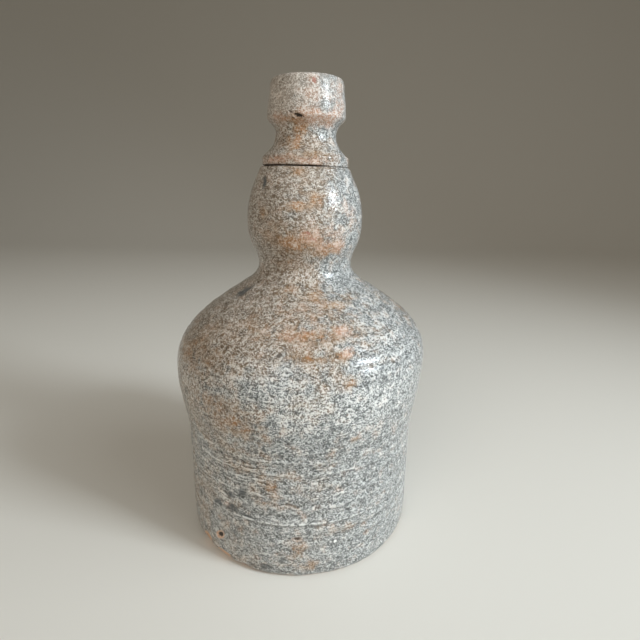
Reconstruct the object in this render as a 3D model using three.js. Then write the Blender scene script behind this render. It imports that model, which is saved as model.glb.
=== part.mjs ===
// Wheel-thrown stoneware sake bottle with a bulbous neck and a cup-shaped mouth.
// The pot is five thrown sections of clay, joined on bevelled edges with luting slip,
// under two outer coats of glaze and one lining coat.
// Millimetres, +Z up the axis, origin at the centre of the flat underside.

import * as THREE from "three";

// Driving dimensions.
const SEGMENTS = 36; // facets round the axis
const LIP_HEIGHT = 231; // whole height
const FOOT_RADIUS = 62.5; // glaze face just above the foot
const BELLY_RADIUS = 66.4; // widest turn
const CONSTRICTION_RADIUS = 24.2; // crease between shoulder and bulb
const BULB_RADIUS = 29.3;
const COLLAR_RADIUS = 21.4; // ridge above the groove
const NECK_RADIUS = 14.8; // narrowest turn, under the mouth
const MOUTH_RADIUS = 19; // lower edge of the cup
const LIP_RADIUS = 17.7; // upper edge of the cup
const MOUTH_BORE_RADIUS = 12.8;
const THROAT_RADIUS = 9.2;

// Heights of the joints between the sections.
const FLOOR_HEIGHT = 9;
const SHOULDER_HEIGHT = 97;
const CONSTRICTION_HEIGHT = 144.6;
const GROOVE_HEIGHT = 192;

// Layers and edges.
const GLAZE_FOOT_HEIGHT = 2.2; // bare clay shows below this
const GLAZE_FOOT_STEP = 0.3; // how much the glaze face draws in at the foot
const LINING_TOP_HEIGHT = 219; // the lining coat meets the dipped coat here, inside the mouth
const WALL = 6.8; // glaze face to the clay's inner face
const GLAZE = 1.2; // outer coats
const LINING = 0.8; // inner coat
const GAP = 0.3; // between pieces that touch
const GROOVE = 0.8; // width and depth of the bare line under the ridge
const SLIP = 0.8; // thickness of the luting slip
const JOINT_RISE = 3; // how much higher a joint's bevel is at its inner edge
const JOINT_GAP = 0.35; // upright gap that leaves GAP square to the bevel
const FOOT_ROUNDING = 1.4; // of the bare edge under the glaze
const FLOOR_FILLET = 4; // width of the slope between floor and wall, inside

// Points that the outline passes through. The lean is in degrees inwards from straight up.
// The curve runs on along it for about `before` on the way in and `after` on the way out.
const FLOOR = { radius: FOOT_RADIUS, height: FLOOR_HEIGHT, lean: 0, after: 15 };
const WAIST = { radius: 62.2, height: 56, lean: 0, before: 18, after: 13 };
const BELLY = { radius: BELLY_RADIUS, height: 95.3, lean: 0, before: 17.7, after: 17.1 };
const SLOPE = { radius: 36.4, height: 132, lean: 56.8, before: 21.4, after: 7.5 };
const CONSTRICTION = {
  radius: CONSTRICTION_RADIUS,
  height: CONSTRICTION_HEIGHT,
  lean: 0,
  before: 5.4,
  after: 7.5,
};
const BULB = { radius: BULB_RADIUS, height: 165.7, lean: 0, before: 12.2, after: 13.5 };
const UNDER_GROOVE = {
  radius: COLLAR_RADIUS + GROOVE,
  height: GROOVE_HEIGHT - GROOVE / 2,
  lean: 22.5,
  before: 7.2,
};
const RIDGE = { radius: COLLAR_RADIUS, height: 196, lean: 19.7, after: 1.8 };
const NECK = { radius: NECK_RADIUS, height: 206.7, lean: 0, before: 6.6, after: 3.9 };
const CUP_EDGE = { radius: MOUTH_RADIUS - 0.1, height: 213.6, lean: -29.6, before: 2.7 };
const CUP = { radius: MOUTH_RADIUS, height: 215.8, lean: 3, after: 5.4 };
const LIP = { radius: LIP_RADIUS, height: LIP_HEIGHT - 3.5, lean: 0, before: 2.7, after: 4.8 };
const LIP_INSIDE = {
  radius: MOUTH_BORE_RADIUS + 0.4,
  height: LIP_HEIGHT - 4.5,
  lean: 180,
  before: 5.8,
};

// Points of the clay's inner face, above the groove.
const HOLLOW = { radius: 15.2, height: 196, lean: 32.2, after: 4.1 };
const THROAT = {
  radius: THROAT_RADIUS + LINING + GAP,
  height: 206,
  lean: 0,
  before: 5.5,
  after: 5.5,
};
const CUP_BORE = {
  radius: MOUTH_BORE_RADIUS + LINING + GAP,
  height: LINING_TOP_HEIGHT,
  lean: 0,
  before: 6.5,
};

const MATERIALS = {
  clay: { color: 0xb58a6c, roughness: 0.85, metalness: 0 },
  slip: { color: 0x4a4038, roughness: 0.9, metalness: 0 },
  bodyGlaze: { color: 0x8f908b, roughness: 0.25, metalness: 0 },
  collarGlaze: { color: 0x9b918a, roughness: 0.25, metalness: 0 },
  lining: { color: 0x6f6a60, roughness: 0.3, metalness: 0 },
};

// A point of the radius-height plane.
const at = (radius, height) => new THREE.Vector2(radius, height);

// The point at a signed distance from a knot, along its lean.
function along(knot, distance) {
  const lean = THREE.MathUtils.degToRad(knot.lean);
  return at(knot.radius - distance * Math.sin(lean), knot.height + distance * Math.cos(lean));
}

// The curve between two knots, as points.
function curve(from, to, steps) {
  const ends = [along(from, 0), along(from, from.after), along(to, -to.before), along(to, 0)];
  return new THREE.CubicBezierCurve(...ends).getPoints(steps);
}

// Lines end to end, each shared end kept once.
function chain(...lines) {
  return lines.flatMap((line, i) => (i === 0 ? line : line.slice(1)));
}

// The line moved by a distance to its left, which is into the clay on a line that runs up
// the outside, over the lip and down the bore.
function inset(line, distance) {
  return line.map((point, i) => {
    const from = point.clone().sub(line[Math.max(i - 1, 0)]).normalize();
    const onto = line[Math.min(i + 1, line.length - 1)].clone().sub(point).normalize();
    const course = from.clone().add(onto).normalize();
    const reach = distance / course.dot(i === 0 ? onto : from);
    return at(point.x - course.y * reach, point.y + course.x * reach);
  });
}

// The point of a rising line at a height.
function pointAt(line, height) {
  const i = line.findIndex((point, n) => n > 0 && point.y >= height);
  const share = (height - line[i - 1].y) / (line[i].y - line[i - 1].y);
  return line[i - 1].clone().lerp(line[i], share);
}

// The stretch of a rising line between two heights.
function between(line, low, high) {
  const inner = line.filter((point) => point.y > low + GAP && point.y < high - GAP);
  return [pointAt(line, low), ...inner, pointAt(line, high)];
}

// A solid of revolution about +Z from a closed outline.
function turned(name, outline, material) {
  const closed = [...outline, outline[0].clone()];
  const geometry = new THREE.LatheGeometry(closed, SEGMENTS);
  geometry.rotateX(Math.PI / 2);
  const mesh = new THREE.Mesh(geometry, new THREE.MeshStandardMaterial(material));
  mesh.name = name;
  return mesh;
}

// The glaze face from the bare foot edge to the groove. The detail sets how many steps the
// curves take.
function bodyFace(detail) {
  return chain(
    [at(FOOT_RADIUS - GLAZE_FOOT_STEP, GLAZE_FOOT_HEIGHT), along(FLOOR, 0)],
    curve(FLOOR, WAIST, detail),
    curve(WAIST, BELLY, detail),
    curve(BELLY, SLOPE, 2 * detail),
    curve(SLOPE, CONSTRICTION, detail),
    curve(CONSTRICTION, BULB, detail + 1),
    curve(BULB, UNDER_GROOVE, detail + 1),
  );
}

// The glaze face of the ridge, the hollow neck and the cup, then over the lip into the bore.
function collarFace() {
  return chain(
    [at(COLLAR_RADIUS, GROOVE_HEIGHT + GROOVE / 2), along(RIDGE, 0)],
    curve(RIDGE, NECK, 5),
    curve(NECK, CUP_EDGE, 3),
    [along(CUP_EDGE, 0), along(CUP, 0)],
    curve(CUP, LIP, 2),
    curve(LIP, LIP_INSIDE, 6),
    [along(LIP_INSIDE, 0), at(MOUTH_BORE_RADIUS, LINING_TOP_HEIGHT + GAP)],
  );
}

// The clay's inner face above the groove: the neck's hollow closes to the throat and opens
// into the cup.
function throatFace() {
  return chain(curve(HOLLOW, THROAT, 3), curve(THROAT, CUP_BORE, 3));
}

const glazedBody = bodyFace(3);
const glazedCollar = collarFace();
const clayCollar = inset(glazedCollar, GLAZE + GAP);
const clayBody = [...inset(glazedBody, GLAZE + GAP), clayCollar[0]];
const bore = [...inset(bodyFace(2), WALL).slice(1, -1), ...throatFace()];

// Half the space between the clay of two joined sections.
const JOINT = SLIP / 2 + JOINT_GAP;

// A thrown section between two joints, with a bevel at each end.
function section(name, bottom, top) {
  const outside = between(clayBody, bottom + JOINT, top - JOINT);
  const inside = between(bore, bottom + JOINT_RISE + JOINT, top + JOINT_RISE - JOINT);
  return turned(name, [...outside, ...inside.reverse()], MATERIALS.clay);
}

// The floor slab: a bare, rounded foot edge, and a bevelled rim under the wall.
function footDisc() {
  const rim = pointAt(clayBody, FLOOR_HEIGHT - JOINT);
  const inner = pointAt(bore, FLOOR_HEIGHT + JOINT_RISE - JOINT);
  const edge = at(rim.x - GLAZE_FOOT_STEP, 0);
  const rounding = new THREE.QuadraticBezierCurve(
    at(edge.x - FOOT_ROUNDING, 0),
    edge,
    at(edge.x, FOOT_ROUNDING),
  );
  const inside = [inner, at(inner.x - FLOOR_FILLET, FLOOR_HEIGHT), at(0, FLOOR_HEIGHT)];
  return turned("foot_disc", [at(0, 0), ...rounding.getPoints(3), rim, ...inside], MATERIALS.clay);
}

// The section with the collar and the mouth, open through the throat.
function mouthCollar() {
  const low = GROOVE_HEIGHT + JOINT;
  const outside = [pointAt(clayCollar, low), ...clayCollar.slice(1)];
  const inside = between(bore, low + JOINT_RISE, LINING_TOP_HEIGHT);
  return turned("mouth_collar", [...outside, ...inside.reverse()], MATERIALS.clay);
}

// The slip in the bevelled joint at a height.
function slipRing(name, height) {
  const outer = pointAt(clayBody, height).x;
  const inner = pointAt(bore, height + JOINT_RISE).x;
  const half = SLIP / 2;
  const outline = [
    at(outer, height - half),
    at(outer, height + half),
    at(inner, height + JOINT_RISE + half),
    at(inner, height + JOINT_RISE - half),
  ];
  return turned(name, outline, MATERIALS.slip);
}

// A coat of glaze on the outside, ending level at both edges.
function coat(name, face, material) {
  const under = inset(face, GLAZE);
  under[0].y = face[0].y;
  under.at(-1).y = face.at(-1).y;
  return turned(name, [...face, ...under.reverse()], material);
}

// The lining coat: over the floor, up the inside and through the throat.
function innerGlaze() {
  const wall = between(bore, FLOOR_HEIGHT + JOINT_RISE, LINING_TOP_HEIGHT);
  const clay = [at(0, FLOOR_HEIGHT), at(wall[0].x - FLOOR_FILLET, FLOOR_HEIGHT), ...wall];
  const back = inset(clay, GAP);
  const front = inset(clay, GAP + LINING);
  for (const line of [back, front]) {
    line[0].x = 0;
    line.at(-1).y = LINING_TOP_HEIGHT;
  }
  return turned("inner_glaze", [...back, ...front.reverse()], MATERIALS.lining);
}

const bottle = new THREE.Group();
bottle.add(
  footDisc(),
  section("body_wall", FLOOR_HEIGHT, SHOULDER_HEIGHT),
  section("shoulder_dome", SHOULDER_HEIGHT, CONSTRICTION_HEIGHT),
  section("neck_bulb", CONSTRICTION_HEIGHT, GROOVE_HEIGHT),
  mouthCollar(),
  slipRing("foot_luting_slip", FLOOR_HEIGHT),
  slipRing("shoulder_luting_slip", SHOULDER_HEIGHT),
  slipRing("neck_luting_slip", CONSTRICTION_HEIGHT),
  slipRing("collar_luting_slip", GROOVE_HEIGHT),
  coat("body_glaze", glazedBody, MATERIALS.bodyGlaze),
  coat("collar_glaze", glazedCollar, MATERIALS.collarGlaze),
  innerGlaze(),
);

export default bottle;
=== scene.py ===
"""Glazed stoneware sake bottle: the looks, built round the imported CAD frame.

Lengths are metres unless a name or comment says millimetres, in the row frame: +Z up the
turning axis, origin at the centre of the underside, front towards -Y. An azimuth is in
degrees from the front, positive to the right.
"""

import math

import bpy
import numpy as np
from mathutils import Matrix, Vector, noise


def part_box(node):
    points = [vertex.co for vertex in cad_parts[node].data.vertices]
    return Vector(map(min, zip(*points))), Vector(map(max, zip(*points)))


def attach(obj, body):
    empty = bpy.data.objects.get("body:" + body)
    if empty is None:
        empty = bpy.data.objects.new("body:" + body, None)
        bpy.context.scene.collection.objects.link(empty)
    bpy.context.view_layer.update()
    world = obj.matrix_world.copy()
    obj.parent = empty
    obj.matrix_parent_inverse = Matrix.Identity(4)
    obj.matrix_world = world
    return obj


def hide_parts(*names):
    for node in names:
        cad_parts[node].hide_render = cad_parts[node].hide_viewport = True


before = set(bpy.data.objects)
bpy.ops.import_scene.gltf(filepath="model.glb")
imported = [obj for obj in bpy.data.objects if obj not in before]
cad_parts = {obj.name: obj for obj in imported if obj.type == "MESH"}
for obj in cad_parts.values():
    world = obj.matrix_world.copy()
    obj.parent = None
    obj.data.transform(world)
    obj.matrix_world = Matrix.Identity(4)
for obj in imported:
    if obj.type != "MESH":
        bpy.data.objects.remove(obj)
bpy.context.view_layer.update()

MM = 0.001

# ---------------- dimensions from the frame

# Thicknesses, and the gap between neighbours. The wall is counted from the glaze face.
GLAZE = 1.2 * MM
LINING = 0.8 * MM
SLIP = 0.8 * MM
GAP = 0.3 * MM
WALL = 6.8 * MM

# A joint climbs this far on its way inwards, and a section ends this far from its middle.
JOINT_RISE = 3.0 * MM
JOINT = SLIP / 2 + 0.35 * MM


def top_of(node):
    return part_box(node)[1].z


def bottom_of(node):
    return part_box(node)[0].z


def radius_of(node):
    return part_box(node)[1].x


COAT_FOOT = bottom_of("body_glaze")
GROOVE_LOW = top_of("body_glaze")
GROOVE_HIGH = bottom_of("collar_glaze")
GROOVE = (GROOVE_LOW + GROOVE_HIGH) / 2
LIP_HEIGHT = top_of("collar_glaze")
LINING_TOP = top_of("inner_glaze")
FLOOR_HEIGHT = bottom_of("foot_luting_slip") + SLIP / 2
SHOULDER_HEIGHT = bottom_of("shoulder_luting_slip") + SLIP / 2
CONSTRICTION_HEIGHT = bottom_of("neck_luting_slip") + SLIP / 2

FOOT_RADIUS = radius_of("foot_luting_slip") + GLAZE + GAP
BELLY_RADIUS = radius_of("body_glaze")
CONSTRICTION_RADIUS = radius_of("neck_luting_slip") + GLAZE + GAP
BULB_RADIUS = radius_of("neck_bulb") + GLAZE + GAP
COLLAR_RADIUS = radius_of("collar_glaze")
BULB_TOP_RADIUS = COLLAR_RADIUS + 0.8 * MM
NECK_RADIUS = 14.8 * MM
MOUTH_RADIUS = 19 * MM
LIP_RADIUS = 17.7 * MM
BORE_RADIUS = 12.8 * MM
THROAT_RADIUS = 9.2 * MM


# ---------------- outlines, radius and height


class Knot:
    """A point that an outline passes through. The lean is in degrees inwards from straight up.
    The curve runs on along it for about `before` on the way in and `after` on the way out."""

    def __init__(self, radius, height, lean=0.0, before=0.0, after=0.0):
        self.point = np.array([radius, height])
        self.course = np.array([-math.sin(math.radians(lean)), math.cos(math.radians(lean))])
        self.before, self.after = before, after


FLOOR = Knot(FOOT_RADIUS, FLOOR_HEIGHT, after=15 * MM)
WAIST = Knot(62.2 * MM, 56 * MM, before=18 * MM, after=13 * MM)
BELLY = Knot(BELLY_RADIUS, 95.3 * MM, before=17.7 * MM, after=17.1 * MM)
SLOPE = Knot(36.4 * MM, 132 * MM, 56.8, 21.4 * MM, 7.5 * MM)
CONSTRICTION = Knot(CONSTRICTION_RADIUS, CONSTRICTION_HEIGHT, before=5.4 * MM, after=7.5 * MM)
BULB = Knot(BULB_RADIUS, 165.7 * MM, before=12.2 * MM, after=13.5 * MM)
UNDER_GROOVE = Knot(BULB_TOP_RADIUS, GROOVE_LOW, 22.5, before=7.2 * MM)
RIDGE = Knot(COLLAR_RADIUS, 196 * MM, 19.7, after=1.8 * MM)
NECK = Knot(NECK_RADIUS, 206.7 * MM, before=6.6 * MM, after=3.9 * MM)
CUP_EDGE = Knot(MOUTH_RADIUS - 0.1 * MM, 213.6 * MM, -29.6, before=2.7 * MM)
CUP = Knot(MOUTH_RADIUS, 215.8 * MM, 3, after=5.4 * MM)
LIP = Knot(LIP_RADIUS, LIP_HEIGHT - 3.5 * MM, before=2.7 * MM, after=4.8 * MM)
LIP_INSIDE = Knot(BORE_RADIUS + 0.4 * MM, LIP_HEIGHT - 4.5 * MM, 180, before=5.8 * MM)
HOLLOW = Knot(15.2 * MM, 196 * MM, 32.2, after=4.1 * MM)
THROAT = Knot(THROAT_RADIUS + LINING + GAP, 206 * MM, before=5.5 * MM, after=5.5 * MM)
CUP_BORE = Knot(BORE_RADIUS + LINING + GAP, LINING_TOP, before=6.5 * MM)


def curve(start, end, step):
    """The curve between two knots as points about a step apart."""
    pull = start.point + start.course * start.after
    push = end.point - end.course * end.before
    corners = np.array([start.point, pull, push, end.point])
    length = np.linalg.norm(np.diff(corners, axis=0), axis=1).sum()
    t = np.linspace(0, 1, max(3, round(length / step)))[:, None]
    weights = np.hstack([(1 - t) ** 3, 3 * (1 - t) ** 2 * t, 3 * (1 - t) * t**2, t**3])
    return weights @ corners


def straight(start, end, step):
    """A straight line as points about a step apart."""
    start, end = np.array(start, float), np.array(end, float)
    count = max(2, round(np.linalg.norm(end - start) / step) + 1)
    return start + np.linspace(0, 1, count)[:, None] * (end - start)


def chain(*lines):
    """Lines end to end, each shared end kept once."""
    return np.vstack([lines[0]] + [line[1:] for line in lines[1:]])


def normals(line):
    """The unit vectors to the right of a line: out of the clay, where the line runs up."""
    along = np.gradient(line, axis=0)
    along /= np.linalg.norm(along, axis=1)[:, None] + 1e-12
    return np.stack([along[:, 1], -along[:, 0]], 1)


def inset(line, distance):
    """The line moved into the clay."""
    return line - normals(line) * distance


def body_face(step):
    """The glaze face from the foot edge to the groove."""
    knots = [FLOOR, WAIST, BELLY, SLOPE, CONSTRICTION, BULB, UNDER_GROOVE]
    curves = [curve(start, end, step) for start, end in zip(knots, knots[1:])]
    return chain(straight((FOOT_RADIUS - GAP, COAT_FOOT), FLOOR.point, step), *curves)


def collar_face(step):
    """The glaze face of the ridge, the hollow neck and the cup, over the lip into the bore."""
    return chain(
        straight((COLLAR_RADIUS, GROOVE_HIGH), RIDGE.point, step),
        curve(RIDGE, NECK, step),
        curve(NECK, CUP_EDGE, step),
        straight(CUP_EDGE.point, CUP.point, step),
        curve(CUP, LIP, step),
        curve(LIP, LIP_INSIDE, step),
        straight(LIP_INSIDE.point, (BORE_RADIUS, LINING_TOP + GAP), step),
    )


def clay_face(step):
    """The clay's outer face, under the glaze, up to the groove."""
    return np.vstack([inset(body_face(step), GLAZE + GAP), (COLLAR_RADIUS - GLAZE - GAP, GROOVE_HIGH)])


def bore_face(step):
    """The clay's inner face from the floor joint up to the lining's end."""
    thrown = inset(body_face(step), WALL)
    thrown = thrown[thrown[:, 1] < GROOVE - 5 * MM]
    return np.vstack([thrown, curve(HOLLOW, THROAT, step), curve(THROAT, CUP_BORE, step)[1:]])


def at_height(line, height):
    """The point of a rising line at a height."""
    return np.array([np.interp(height, line[:, 1], line[:, 0]), height])


def between(line, low, high):
    """The stretch of a rising line between two heights."""
    inner = line[(line[:, 1] > low + GAP) & (line[:, 1] < high - GAP)]
    return np.vstack([at_height(line, low), inner, at_height(line, high)])


# ---------------- the potter's hand


def smooth(low, high, value):
    """From 0 at low to 1 at high, with soft ends."""
    t = np.clip((value - low) / (high - low), 0, 1)
    return t * t * (3 - 2 * t)


def bump(value, centre, width):
    """1 at the centre, falling away over about a width."""
    return np.exp(-(((value - centre) / width) ** 2))


def turned_from(azimuth, centre):
    """The angle past a centre, from -180 to 180."""
    return (azimuth - centre + 180) % 360 - 180


DOME_SWAY = 2.3 * MM
MOUTH_SWAY = 0.9 * MM
GROOVE_TILT = 0.017


def sway(points):
    """The dome was closed a little off the axis, so all above it stands to the right, and the
    groove runs down to the right."""
    points[..., 0] += DOME_SWAY * smooth(85 * MM, 122 * MM, points[..., 2])
    points[..., 0] += MOUTH_SWAY * smooth(185 * MM, LIP_HEIGHT, points[..., 2])
    points[..., 2] -= GROOVE_TILT * points[..., 0] * bump(points[..., 2], GROOVE, 9 * MM)
    return points


def grain(points, size, seed):
    """Smooth noise from -1 to 1 with features about a size across, at each point."""
    flat = points.reshape(-1, 3) / size + seed * 7.31
    values = [noise.noise(p) for p in flat.tolist()]
    return np.array(values).reshape(points.shape[:-1])


def throwing_rings(azimuth, height, points):
    """The turns left by the fingers, as relief from about -1 to 1."""
    turn = np.radians(azimuth)
    drift = 1.6 * grain(points, 30 * MM, 1)
    broad = np.sin(2 * math.pi * height / (6.4 * MM) - turn + drift)
    fine = np.sin(2 * math.pi * height / (3.1 * MM) - 2 * turn + 2.3 * drift + 1.0)
    return 0.6 * broad + 0.4 * fine * (0.6 + 0.4 * np.sin(3.1 * drift))


def ring_depth(height):
    """How deep the turns are at a height: most on the lower wall and the shoulder."""
    wall = 0.23 * smooth(6 * MM, 20 * MM, height) * (1 - smooth(62 * MM, 82 * MM, height))
    dome = 0.13 * smooth(98 * MM, 108 * MM, height) * (1 - smooth(134 * MM, 142 * MM, height))
    return (0.035 + wall + dome) * MM


# Sharp turns that stand proud: height, azimuth of the middle, half-width in degrees, strength.
RINGS = [
    (31.4 * MM, 2, 42, 1.5),
    (26.6 * MM, 24, 18, 0.5),
    (46.5 * MM, -30, 20, 0.4),
    (50.5 * MM, -22, 22, 0.5),
    (54.2 * MM, -26, 18, 0.8),
    (58.0 * MM, -20, 20, 0.7),
    (61.2 * MM, -27, 16, 0.9),
    (65.6 * MM, -12, 16, 0.4),
    (96.6 * MM, -12, 9, 0.6),
    (104.5 * MM, -30, 18, 0.4),
    (112.0 * MM, -10, 26, 0.4),
    (118.6 * MM, 10, 30, 0.3),
    (40.0 * MM, 150, 60, 0.6),
    (72.0 * MM, -130, 50, 0.5),
]


RING_CLIMB = 0.4 * MM
RING_TURN = math.radians(20)
PROUD = 0.24 * MM


def ring_level(azimuth):
    """How far the turns climb at an azimuth."""
    return RING_CLIMB * np.sin(np.radians(azimuth) - RING_TURN)


def proud_rings(azimuth, height):
    """The sharp turns that stand proud, from 0 to 1."""
    return sum(
        share * bump(height, level + ring_level(azimuth), 0.8 * MM) * ring_reach(azimuth, middle, wide)
        for level, middle, wide, share in RINGS
    )


def ring_reach(azimuth, middle, wide):
    """Where a sharp turn runs: 1 near its middle, falling away at its half-width."""
    return np.exp(-((turned_from(azimuth, middle) / wide) ** 4))


class Blemish:
    """A mark in the glaze at an azimuth and a height in millimetres. Long and wide are
    half-sizes in millimetres, slant is in degrees up to the right, depth in millimetres."""

    def __init__(self, azimuth, height, long, wide, slant, depth, kind="hole", rim=0.4):
        self.azimuth, self.height = azimuth, height * MM
        self.long, self.wide = long * MM, wide * MM
        self.slant, self.depth = math.radians(slant), depth * MM
        self.kind, self.rim = kind, rim

    def reach(self, azimuth, height, radius):
        """The distance from the middle, 1 at the edge."""
        across = np.radians(turned_from(azimuth, self.azimuth)) * radius
        up = height - self.height
        c, s = math.cos(self.slant), math.sin(self.slant)
        return np.hypot((across * c + up * s) / self.long, (up * c - across * s) / self.wide)


BODY_BLEMISHES = [
    Blemish(-37.3, 13.4, 2.8, 1.5, 40, 0.9, rim=0.8),
    Blemish(-48.5, 4.4, 3.7, 2.3, 0, 0.5, kind="chip"),
    Blemish(-35.5, 3.0, 5.0, 1.3, 0, 0.35, kind="chip"),
    Blemish(1.8, 23.2, 1.9, 1.0, 0, 0.6, rim=0.25),
    Blemish(34.7, 18.4, 1.3, 1.1, 0, 0.5, rim=0.2),
    Blemish(10.4, 40.4, 1.6, 0.9, 15, 0.4, rim=0.1),
    Blemish(18.7, 19.9, 1.0, 1.0, 0, -0.5, kind="pebble"),
    Blemish(-28.7, 33.6, 3.2, 2.2, 5, 0.55, kind="blotch"),
    Blemish(-36.9, 32.7, 2.8, 2.3, 0, 0.4, kind="blotch"),
    Blemish(-22.6, 45, 2.6, 2.2, 30, 0.35, kind="blotch"),
    Blemish(-30, 41, 1.7, 1.3, 0, 0.25, kind="blotch"),
    Blemish(-20, 32, 4.2, 1.1, -8, 0.25, kind="blotch"),
    Blemish(-13, 5.5, 3.2, 1.6, 0, 0.2, kind="blotch"),
    Blemish(-45, 184, 1.6, 2.6, 20, 0.2, kind="blotch"),
    Blemish(-57, 133, 3.0, 2.4, 0, 0.2, kind="blotch"),
    Blemish(152, 61, 1.6, 1.1, 0, 0.6, rim=0.7),
    Blemish(-112, 26, 2.1, 1.3, 30, 0.7, rim=0.5),
    Blemish(118, 118, 1.3, 0.9, 0, 0.5, rim=0.2),
    Blemish(100, 30, 3.4, 2.4, 0, 0.35, kind="blotch"),
    Blemish(-160, 36, 3.0, 2.2, 0, 0.35, kind="blotch"),
]
COLLAR_BLEMISHES = [
    Blemish(-8.3, 212.8, 2.4, 1.1, -20, 0.95, rim=0.1),
    Blemish(-19.5, 214.6, 1.4, 0.4, -22, 0.5, rim=0.0),
    Blemish(128, 222, 1.4, 0.7, 10, 0.4, rim=0.3),
]


def pitting(azimuth, height, radius):
    """The depth of the blemishes, with a raised lip of glaze round each."""
    depth = np.zeros_like(height)
    for mark in BODY_BLEMISHES + COLLAR_BLEMISHES:
        reach = mark.reach(azimuth, height, radius)
        depth += mark.depth * (np.exp(-(reach**4)) - 0.25 * bump(reach, 1.35, 0.3))
    return depth


def blotches(azimuth, height, radius, points):
    """Where blemishes have healed over dark, from 0 to 1."""
    mask = np.zeros_like(height)
    ragged = 1 + 0.7 * grain(points, 2.5 * MM, 17)
    for mark in BODY_BLEMISHES:
        if mark.kind == "blotch":
            mask = np.maximum(mask, np.exp(-((mark.reach(azimuth, height, radius) * ragged) ** 4)))
    return mask


SCORE_HEIGHT = 96.5 * MM
SETTLED = 0.12 * MM
DEEPEST = 0.95 * MM
PROUDEST = 0.5 * MM


def glaze_relief(azimuth, height, radius, points):
    """How far the glaze face stands off its turned outline. It is settled a little inwards,
    and held between the deepest pit that the coat can take and the proudest ring."""
    rings = throwing_rings(azimuth, height, points) * ring_depth(height)
    proud = PROUD * proud_rings(azimuth, height)
    score = -0.2 * MM * bump(height, SCORE_HEIGHT, 0.5 * MM) * bump(azimuth, -6, 20)
    swell = 0.16 * MM * grain(points, 34 * MM, 2) + 0.06 * MM * grain(points, 7 * MM, 3)
    curdle = 0.05 * MM * grain(points, 2.4 * MM, 4)
    relief = rings + proud + score + swell + curdle - pitting(azimuth, height, radius)
    return np.clip(relief - SETTLED, -DEEPEST, PROUDEST)


# Chips in the foot edge: azimuth, half-width in degrees, height in millimetres.
CHIPS = [(-48.5, 3.4, 4.4), (-36, 6, 1.3), (-24, 4, 0.8), (64, 4, 0.7), (141, 4, 1.8), (-128, 6, 1.3)]


def chipping(azimuth):
    """How high the chips in the foot edge reach, in millimetres."""
    return sum(high * bump(turned_from(azimuth, centre), 0, wide) for centre, wide, high in CHIPS)


def foot_edge(azimuth, height, points):
    """How far the coat's lower edge stands above or below its outline, fading out above it."""
    flat = points * [1, 1, 0]
    ragged = 0.3 * grain(flat, 5 * MM, 5) + 0.2 * grain(flat, 1.7 * MM, 6) - 1.0
    return (ragged + chipping(azimuth)) * MM * np.exp(-np.clip(height - COAT_FOOT, 0, 1) / (2.5 * MM))


def groove_closing(azimuth):
    """From 0, open, to 1, filled with glaze: the groove runs full to the right and behind."""
    right = smooth(8, 34, azimuth) * (1 - smooth(100, 125, azimuth))
    return np.maximum(right, 0.4 + 0.6 * bump(azimuth, -150, 18))


# ---------------- patches of colour

# Soft patches, in millimetres and degrees: azimuth, height, half-width in degrees,
# half-height, strength.
BROWN_PATCHES = [
    (-6, 208.5, 15, 4.6, 1.0),
    (-12, 202, 10, 6, 0.85),
    (-34, 204, 14, 5, 0.6),
    (-30, 212, 28, 2.0, 0.7),
    (36, 211.6, 10, 2.0, 0.6),
    (0, 196.5, 34, 3, 0.6),
    (-5, 189.5, 9, 2.2, 0.95),
    (13, 177, 6.5, 3.4, 1.0),
    (-2, 174, 14, 2.4, 0.9),
    (0, 182, 4, 4, 0.5),
    (-40, 171, 8, 4, 0.5),
    (-26, 163, 9, 4, 0.6),
    (-6, 158.5, 28, 5.0, 1.0),
    (26, 155, 18, 4.5, 0.85),
    (-16, 147, 20, 3, 0.45),
    (-14, 136, 13, 2.6, 0.5),
    (12, 134.6, 12, 2.4, 0.6),
    (25, 130.5, 12, 1.6, 0.6),
    (0, 128, 26, 3, 0.4),
    (4, 121.5, 30, 3.6, 0.6),
    (10, 114, 18, 2.4, 0.55),
    (22, 103.7, 4, 2.6, 0.6),
    (-31, 89, 12, 6, 0.68),
    (-22, 82, 11, 5, 0.6),
    (-13, 77, 9, 3.5, 0.45),
    (-50, 109, 20, 10, 0.6),
    (-28, 124, 10, 4, 0.4),
    (-10, 51.3, 3.4, 2.6, 0.75),
    (-10, 46, 9, 1.6, 0.4),
    (-8, 41, 9, 1.6, 0.4),
    (25.5, 74.8, 2.2, 1.6, 0.6),
    (-22, 58, 12, 3, 0.35),
    (2, 17, 3.4, 5, 0.65),
    (7.5, 7.4, 4, 2.4, 0.65),
    (24, 26, 10, 3, 0.4),
    (106, 122, 22, 7, 0.6),
    (150, 160, 30, 6, 0.7),
    (178, 96, 22, 12, 0.6),
    (-110, 120, 24, 8, 0.65),
    (-150, 60, 14, 10, 0.5),
    (120, 40, 16, 6, 0.5),
    (-140, 176, 26, 5, 0.65),
    (140, 213, 40, 3.5, 0.7),
    (-90, 205, 30, 6, 0.6),
]
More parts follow.
